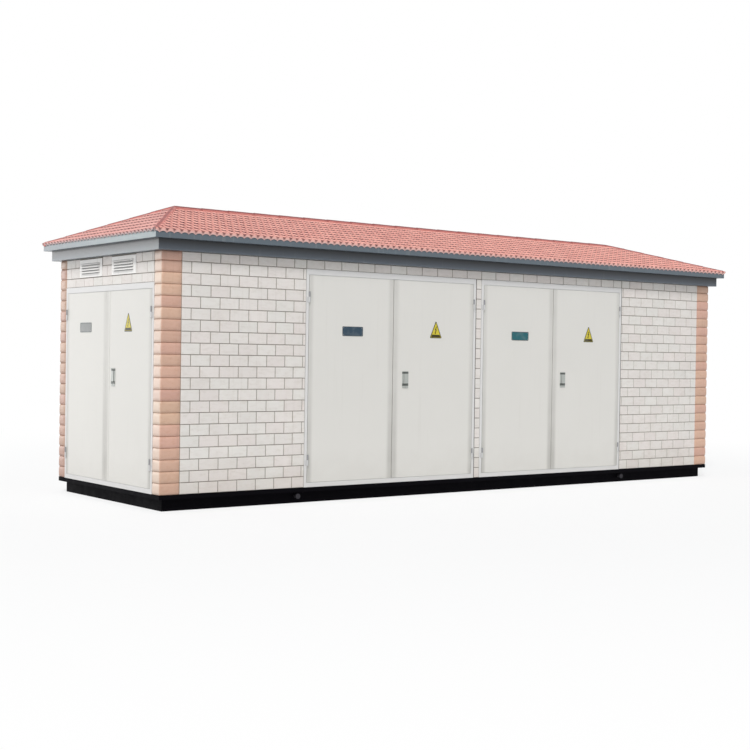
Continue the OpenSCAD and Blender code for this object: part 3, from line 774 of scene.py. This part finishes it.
def vent_material():
    """Near-white louvre plates, with painted shade under the hoods and on a strip below each mouth."""
    louvres, pitch, lowest, half_louvre = 4, 0.029, -0.052, 0.215
    finish = painted_sheet("vent_paint", rgb(240, 238, 235), rgb(120, 116, 110), 0.1, 0.15, 0.5,
                           Specular_IOR_Level=0.25)
    nodes = finish.nodes
    spot = nodes.place()
    low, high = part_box("left_end_vents")
    middle = (low.y + high.y) / 2
    off = nodes.math("ABSOLUTE", nodes.math("SUBTRACT", spot["Y"], middle))
    off = nodes.math("ABSOLUTE", nodes.math("SUBTRACT", off, (high.y - low.y) / 2 - vent_width / 2))
    beside = nodes.span(off, half_louvre - 0.005, half_louvre + 0.005, 1.0, 0.0)
    # A strip of painted shade on the plate below each hood's mouth, as wide as the louvres
    for k in range(louvres):
        mouth = (low.z + high.z) / 2 + lowest + pitch * k
        shaded = between(nodes, spot["Z"], mouth - 0.0080, mouth + 0.0005, 0.0015)
        finish.over(nodes.math("MULTIPLY", nodes.math("MULTIPLY", shaded, beside), 0.5), rgb(84, 84, 86))
    # Painted shade on the undersides of the hoods
    down = nodes.span(nodes.facing("True Normal")["Z"], -0.6, -0.1, 0.65, 0.0)
    finish.over(down, rgb(60, 60, 62))
    return finish.done()


def leaf_lines(*leaves):
    """The upright edges of leaves, from their boxes, along the front or along the end."""
    axis = 0 if "bay" in leaves[0] else 1
    return [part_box(leaf)[side][axis] for leaf in leaves for side in (0, 1)]


front_leaf = leaf_material("front_door_paint", "X", leaf_lines(
    "left_bay_door_left", "left_bay_door_right", "right_bay_door_left", "right_bay_door_right"),
    -half_w - 0.0055, 0.38)
left_leaf = leaf_material("left_door_paint", "Y", leaf_lines("left_end_door_back", "left_end_door_front"),
                          -half_l - 0.0055, 0.36)
right_leaf = painted_sheet("right_door_paint", door_colour, pale_dirt, 0.10, 0.04, 0.50, edge_highlight,
                           Specular_IOR_Level=0.2).done()
fascia_finish = fascia_material()
vent_finish = vent_material()
slate_plate = enamel("plate_slate", rgb(50, 70, 86))
teal_plate = enamel("plate_teal", rgb(36, 96, 104))
silver_plate = enamel("plate_silver", rgb(126, 128, 127))
# A dark strip that stands in for the shadow each front frame casts on the bricks
painted_shadow_strip = enamel("painted_shadow_strip", rgb(84, 78, 74), 0.7)
seal_rubber = enamel("seal_rubber", rgb(216, 216, 214), 0.7)
plate_rim = enamel("plate_rim", rgb(66, 76, 80), 0.3)
sign_yellow = enamel("sign_yellow", rgb(206, 190, 58), 0.38)
sign_black = enamel("sign_black", rgb(52, 46, 14), 0.38)

finish_of_slot = {
    "base_paint": base_material(),
    "floor_paint": floor_material(),
    "quoin_blocks": corner_finish,
    "brick_cladding": wall_finish,
    "frame_paint": frame_finish,
    "door_paint": front_leaf,
    "vent_paint": vent_finish,
    "lock_metal": lock_finish,
    "fascia_paint": fascia_finish,
    "ceiling_paint": ceiling_finish,
    "roof_tile": deck_material(),
    "cap_tile": ridge_finish,
}
finish_of_node = {
    "eave_trim": trim_finish,
    "frame_hinges": hinge_finish,
    "lifting_pins": pin_finish,
    "left_end_door_back": left_leaf,
    "left_end_door_front": left_leaf,
    "right_end_door_back": right_leaf,
    "right_end_door_front": right_leaf,
}
for part in frame["record"]["subparts"]:
    materials = frame["nodes"][part["node"]].data.materials
    materials.clear()
    materials.append(finish_of_node.get(part["node"], finish_of_slot[part["material_slot"]]))


# Brick slips and quoin blocks

def slips_on(node, face, even, odd, holes=(), joint=0.0):
    """The slips of one wall panel, from the panel's own box, less a joint at its left-hand side. A head
    joint of the even courses and one of the odd courses give the bond."""
    low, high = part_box(node)
    right = np.array(faces[face][1])
    ends = sorted(float(np.dot(right, corner)) for corner in (low, high))
    ends[0] += joint
    cells = bond_cells(*ends, low.z, high.z, even, odd, holes)
    brick_slips(node + "_slips", face, cells)


slips_on("front_wall_left", "front", -3.680, -3.786)
# A joint at the left of the slips beside each front doorway holds a strip of painted shadow
slips_on("front_wall_right", "front", 3.680, 3.786, joint=0.007)
slips_on("front_lintel", "front", -2.185, -2.185)
# The pier is narrower than a brick, so joints beside it leave its slips whole
slips_on("front_pier", "front", 0.1, 0.1, joint=0.007)
slips_on("back_wall", "back", -3.680, -3.786)
vent_low, vent_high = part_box("left_end_vents")
for face, turn in (("left", -1), ("right", 1)):
    holes = []
    for start in (vent_low.y, vent_high.y - vent_width):
        ends = sorted((turn * start, turn * (start + vent_width)))
        holes.append((ends[0] - vent_shadow, ends[1], vent_low.z, vent_high.z))
    slips_on(face + "_end_lintel", face, -0.765 * turn, -0.654 * turn, holes)
for side_x, across_name in ((-1, "left"), (1, "right")):
    for side_y, depth_name in ((-1, "front"), (1, "back")):
        quoin_stack("quoins_%s_%s" % (depth_name, across_name), side_x, side_y)


# Painted shadow down the right-hand side of each front doorway: a dark strip in the joint beside the frame

half_strip = 0.0052
for name in ("left_bay", "right_bay"):
    low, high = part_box(name + "_frame")
    strip = rectangle(half_strip, low.z, high.z)
    plate(name + "_sealant", "front", (high.x + 0.0055, 0.0), strip,
          [(0, -relief), (0, -0.002), (0.0008, -0.0012)], "building", [painted_shadow_strip], [0, 0, 0])


# Rubber seals over and under the door leaves

def door_seals(name, face, leaf):
    """Strips of pale rubber that fill most of the gaps over and under the leaves of a doorway."""
    low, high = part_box(name + "_frame")
    leaf_low, leaf_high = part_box(leaf)
    axis = 0 if face == "front" else 1
    half = (high[axis] - low[axis]) / 2 - jamb
    for label, foot in (("sill", leaf_low.z - edge_gap), ("head", leaf_high.z + edge_gap - seal_height)):
        strip = rectangle(half, foot, foot + seal_height)
        plate("%s_%s_seal" % (name, label), face, ((low[axis] + high[axis]) / 2, 0.0), strip,
              [(0, -0.0100), (0, -0.0022), (0.0006, -0.0016)], "building", [seal_rubber], [0, 0, 0])


door_seals("left_bay", "front", "left_bay_door_left")
door_seals("right_bay", "front", "right_bay_door_left")
door_seals("left_end", "left", "left_end_door_back")
door_seals("right_end", "right", "right_end_door_back")


# Roof tiles

ridge_z = deck_high.z
eave_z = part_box("eave_trim")[1].z
eave_half_l = deck_high.x
eave_half_w = -deck_low.y
roof_rise = ridge_z - eave_z
hip_run = eave_half_l - ridge_half
long_span = math.hypot(eave_half_w, roof_rise)
end_span = math.hypot(hip_run, roof_rise)
for side, label in ((-1, "front"), (1, "back")):
    tile_sheet("tiles_" + label, (0, side * eave_half_w, eave_z), (-side, 0, 0),
               (0, -side * eave_half_w / long_span, roof_rise / long_span), eave_half_l, ridge_half,
               long_span, 0.034, tile_finish)
for side, label in ((-1, "left"), (1, "right")):
    tile_sheet("tiles_" + label, (side * eave_half_l, 0, eave_z), (0, side, 0),
               (-side * hip_run / end_span, 0, roof_rise / end_span), eave_half_w, 0.0,
               end_span, 0.026, end_tile_finish)

for side_x, across_name in ((-1, "left"), (1, "right")):
    for side_y, depth_name in ((-1, "front"), (1, "back")):
        # The front left hip takes the narrow band of painted shade, the others the wide one
        cap_finish = hip_finish if side_x + side_y == -2 else dark_hip_finish
        cap_row("hip_tiles_%s_%s" % (depth_name, across_name),
                (side_x * (eave_half_l - 0.012), side_y * (eave_half_w - 0.012), eave_z - 0.004),
                (side_x * ridge_half, 0, ridge_z), 6, [cap_finish, trim_finish])
cap_row("ridge_tiles", (-ridge_half, 0, ridge_z), (ridge_half, 0, ridge_z), 20, [ridge_finish])


# Name plates and warning signs

plate_half_l = 0.137
plate_half_h = 0.0515
rivet_l = plate_half_l - 0.015
rivet_h = plate_half_h - 0.0145
plate_outline = rounded_outline(rectangle(plate_half_l, -plate_half_h, plate_half_h), 0.010)
plate_rings = [(0, 0.0002), (0, 0.0022), (0.0008, 0.0030), (0.0060, 0.0030), (0.0068, 0.0022)]
triangle = rounded_outline([(-0.087, -0.085), (0.087, -0.085), (0.0, 0.112)], 0.007)
sign_rings = [(0, 0.0002), (0, 0.0014), (0.0005, 0.0018), (0.0090, 0.0018)]
bolt_outline = np.array([(0.004, 0.046), (-0.016, 0.004), (-0.003, 0.006), (-0.012, -0.024),
                         (-0.018, -0.020), (-0.010, -0.040), (0.004, -0.027), (-0.004, -0.026),
                         (0.013, 0.014), (0.000, 0.011), (0.014, 0.046)])
band_outline = rounded_outline([(-0.068, -0.074), (0.068, -0.074), (0.056, -0.046),
                                (-0.056, -0.046)], 0.003)
mark_rings = [(0, 0.0016), (0, 0.0020), (0.0003, 0.0022)]


def name_plate(name, face, across, up, body, material):
    """A blank plate with a raised rim and four rivets."""
    plate(name, face, (across, up), plate_outline, plate_rings, body, [plate_rim, material], [0, 0, 0, 0, 1])
    heads = [(across + dx, up + dz, 0.0020) for dx in (-rivet_l, rivet_l) for dz in (-rivet_h, rivet_h)]
    rivets(name + "_rivets", face, heads, 0.0035, 0.0018, body, rivet_finish)


def warning_sign(name, face, across, up, body):
    """A triangle with a dark edge, a plain bolt and a plain dark band."""
    spot = (across, up)
    plate(name, face, spot, triangle, sign_rings, body, [sign_black, sign_yellow], [0, 0, 0, 1])
    plate(name + "_bolt", face, spot, bolt_outline, mark_rings, body, [sign_black], [0, 0, 0])
    plate(name + "_band", face, spot, band_outline, mark_rings, body, [sign_black], [0, 0, 0])


name_plate("left_bay_plate", "front", -1.807, plate_up, "left_bay_left_leaf", slate_plate)
name_plate("right_bay_plate", "front", 0.663, plate_up, "right_bay_left_leaf", teal_plate)
name_plate("left_end_plate", "left", -0.515, plate_up, "left_end_back_leaf", silver_plate)
warning_sign("left_bay_sign", "front", -0.642, sign_up, "left_bay_right_leaf")
warning_sign("right_bay_sign", "front", 1.826, sign_up, "right_bay_right_leaf")
warning_sign("left_end_sign", "left", 0.480, sign_up, "left_end_front_leaf")


# Stage, camera and light

def seen_directly(nodes):
    """1 for rays of the camera, gloss and glass, and 0 for rays that light the building."""
    path = nodes.add("ShaderNodeLightPath").outputs
    return nodes.math("MAXIMUM", path["Is Camera Ray"],
                      nodes.math("MAXIMUM", path["Is Glossy Ray"], path["Is Transmission Ray"]))


def stage_floor():
    """A wide pale floor, which camera, gloss and glass see nearly white, with the building's shadow."""
    mesh = bpy.data.meshes.new("stage_floor")
    corners = rectangle(120.0, -120.0, 120.0)
    mesh.from_pydata([(x, y, 0) for x, y in corners], [], [(0, 1, 2, 3)])
    floor = bpy.data.objects.new("stage_floor", mesh)
    bpy.context.scene.collection.objects.link(floor)
    finish = Finish("stage_white", rgb(236, 236, 236), 0.9)
    finish.grain(4.0, 0.01, 0.0001)
    material = finish.done()
    nodes = finish.nodes
    far = nodes.add("ShaderNodeVectorMath", {0: nodes.add("ShaderNodeTexCoord").outputs["Object"]},
                    operation="LENGTH").outputs["Value"]
    share = nodes.math("MULTIPLY", seen_directly(nodes), nodes.span(far, 5.0, 12.0, 0.7, 1.0))
    glow = nodes.add("ShaderNodeEmission", {"Color": (1.0, 1.0, 1.0, 1.0), "Strength": 1.0})
    both = nodes.add("ShaderNodeMixShader", {0: share, 1: finish.shader.outputs[0], 2: glow.outputs[0]})
    nodes.tree.links.new(both.outputs[0], finish.surface)
    mesh.materials.append(material)


def placed(x, y, z, spot):
    """The matrix that turns the three axes to these directions and moves the origin to a spot."""
    rows = np.stack([x, y, z], axis=1)
    return Matrix([(*row, place) for row, place in zip(rows, spot)] + [(0, 0, 0, 1)])


def turned_camera(name, spot, yaw, pitch, roll, lens):
    """A camera from its heading, its tilt and its roll, in degrees."""
    yaw, pitch, roll = (math.radians(v) for v in (yaw, pitch, roll))
    ahead = np.array([math.sin(yaw) * math.cos(pitch), math.cos(yaw) * math.cos(pitch), math.sin(pitch)])
    level = np.array([math.cos(yaw), -math.sin(yaw), 0.0])
    upright = np.cross(level, ahead)
    right = math.cos(roll) * level + math.sin(roll) * upright
    top = math.cos(roll) * upright - math.sin(roll) * level
    data = bpy.data.cameras.new(name)
    data.lens = lens
    data.sensor_width = 36.0
    data.clip_end = 500.0
    camera = bpy.data.objects.new(name, data)
    camera.matrix_world = placed(right, top, -ahead, spot)
    bpy.context.scene.collection.objects.link(camera)
    return camera


def lamp(name, kind, energy, heading, height, distance=10.0, **settings):
    """A lamp that looks at the middle of the building from a heading and a height, in degrees."""
    heading, height = math.radians(heading), math.radians(height)
    away = np.array([math.sin(heading) * math.cos(height), -math.cos(heading) * math.cos(height),
                     math.sin(height)])
    data = bpy.data.lights.new(name, kind)
    data.energy = energy
    for label, value in settings.items():
        setattr(data, label, value)
    light = bpy.data.objects.new(name, data)
    right = np.cross((0, 0, 1), away)
    right /= np.linalg.norm(right)
    middle = (0, 0, 1.4)
    light.matrix_world = placed(right, np.cross(away, right), away, away * distance + middle)
    light.visible_camera = False
    bpy.context.scene.collection.objects.link(light)


def studio_world():
    """An even grey light for everything but the camera, gloss and glass, which see white."""
    world = bpy.data.worlds.new("studio")
    bpy.context.scene.world = world
    world.use_nodes = True
    world.node_tree.nodes.clear()
    nodes = Nodes(world.node_tree)
    soft = nodes.add("ShaderNodeBackground", {"Color": (0.96, 0.98, 1.0, 1.0), "Strength": 0.42})
    white = nodes.add("ShaderNodeBackground", {"Color": (1.0, 1.0, 1.0, 1.0), "Strength": 1.0})
    both = nodes.add("ShaderNodeMixShader", {0: seen_directly(nodes), 1: soft.outputs[0],
                                             2: white.outputs[0]})
    output = nodes.add("ShaderNodeOutputWorld")
    world.node_tree.links.new(both.outputs[0], output.inputs["Surface"])


stage_floor()
studio_world()
lamp("key_sun", "SUN", 2.35, -45.0, 48.0, angle=math.radians(14))
lamp("left_panel", "AREA", 420.0, -143.0, 6.0, distance=16.0, shape="RECTANGLE", size=9.0, size_y=7.0)
bpy.context.scene.camera = turned_camera("photo_view", (-10.28992, -12.74598, 1.55715), 37.23321, -0.81259,
                                         0.83686, 63.847)
bpy.context.scene.view_settings.view_transform = "Standard"
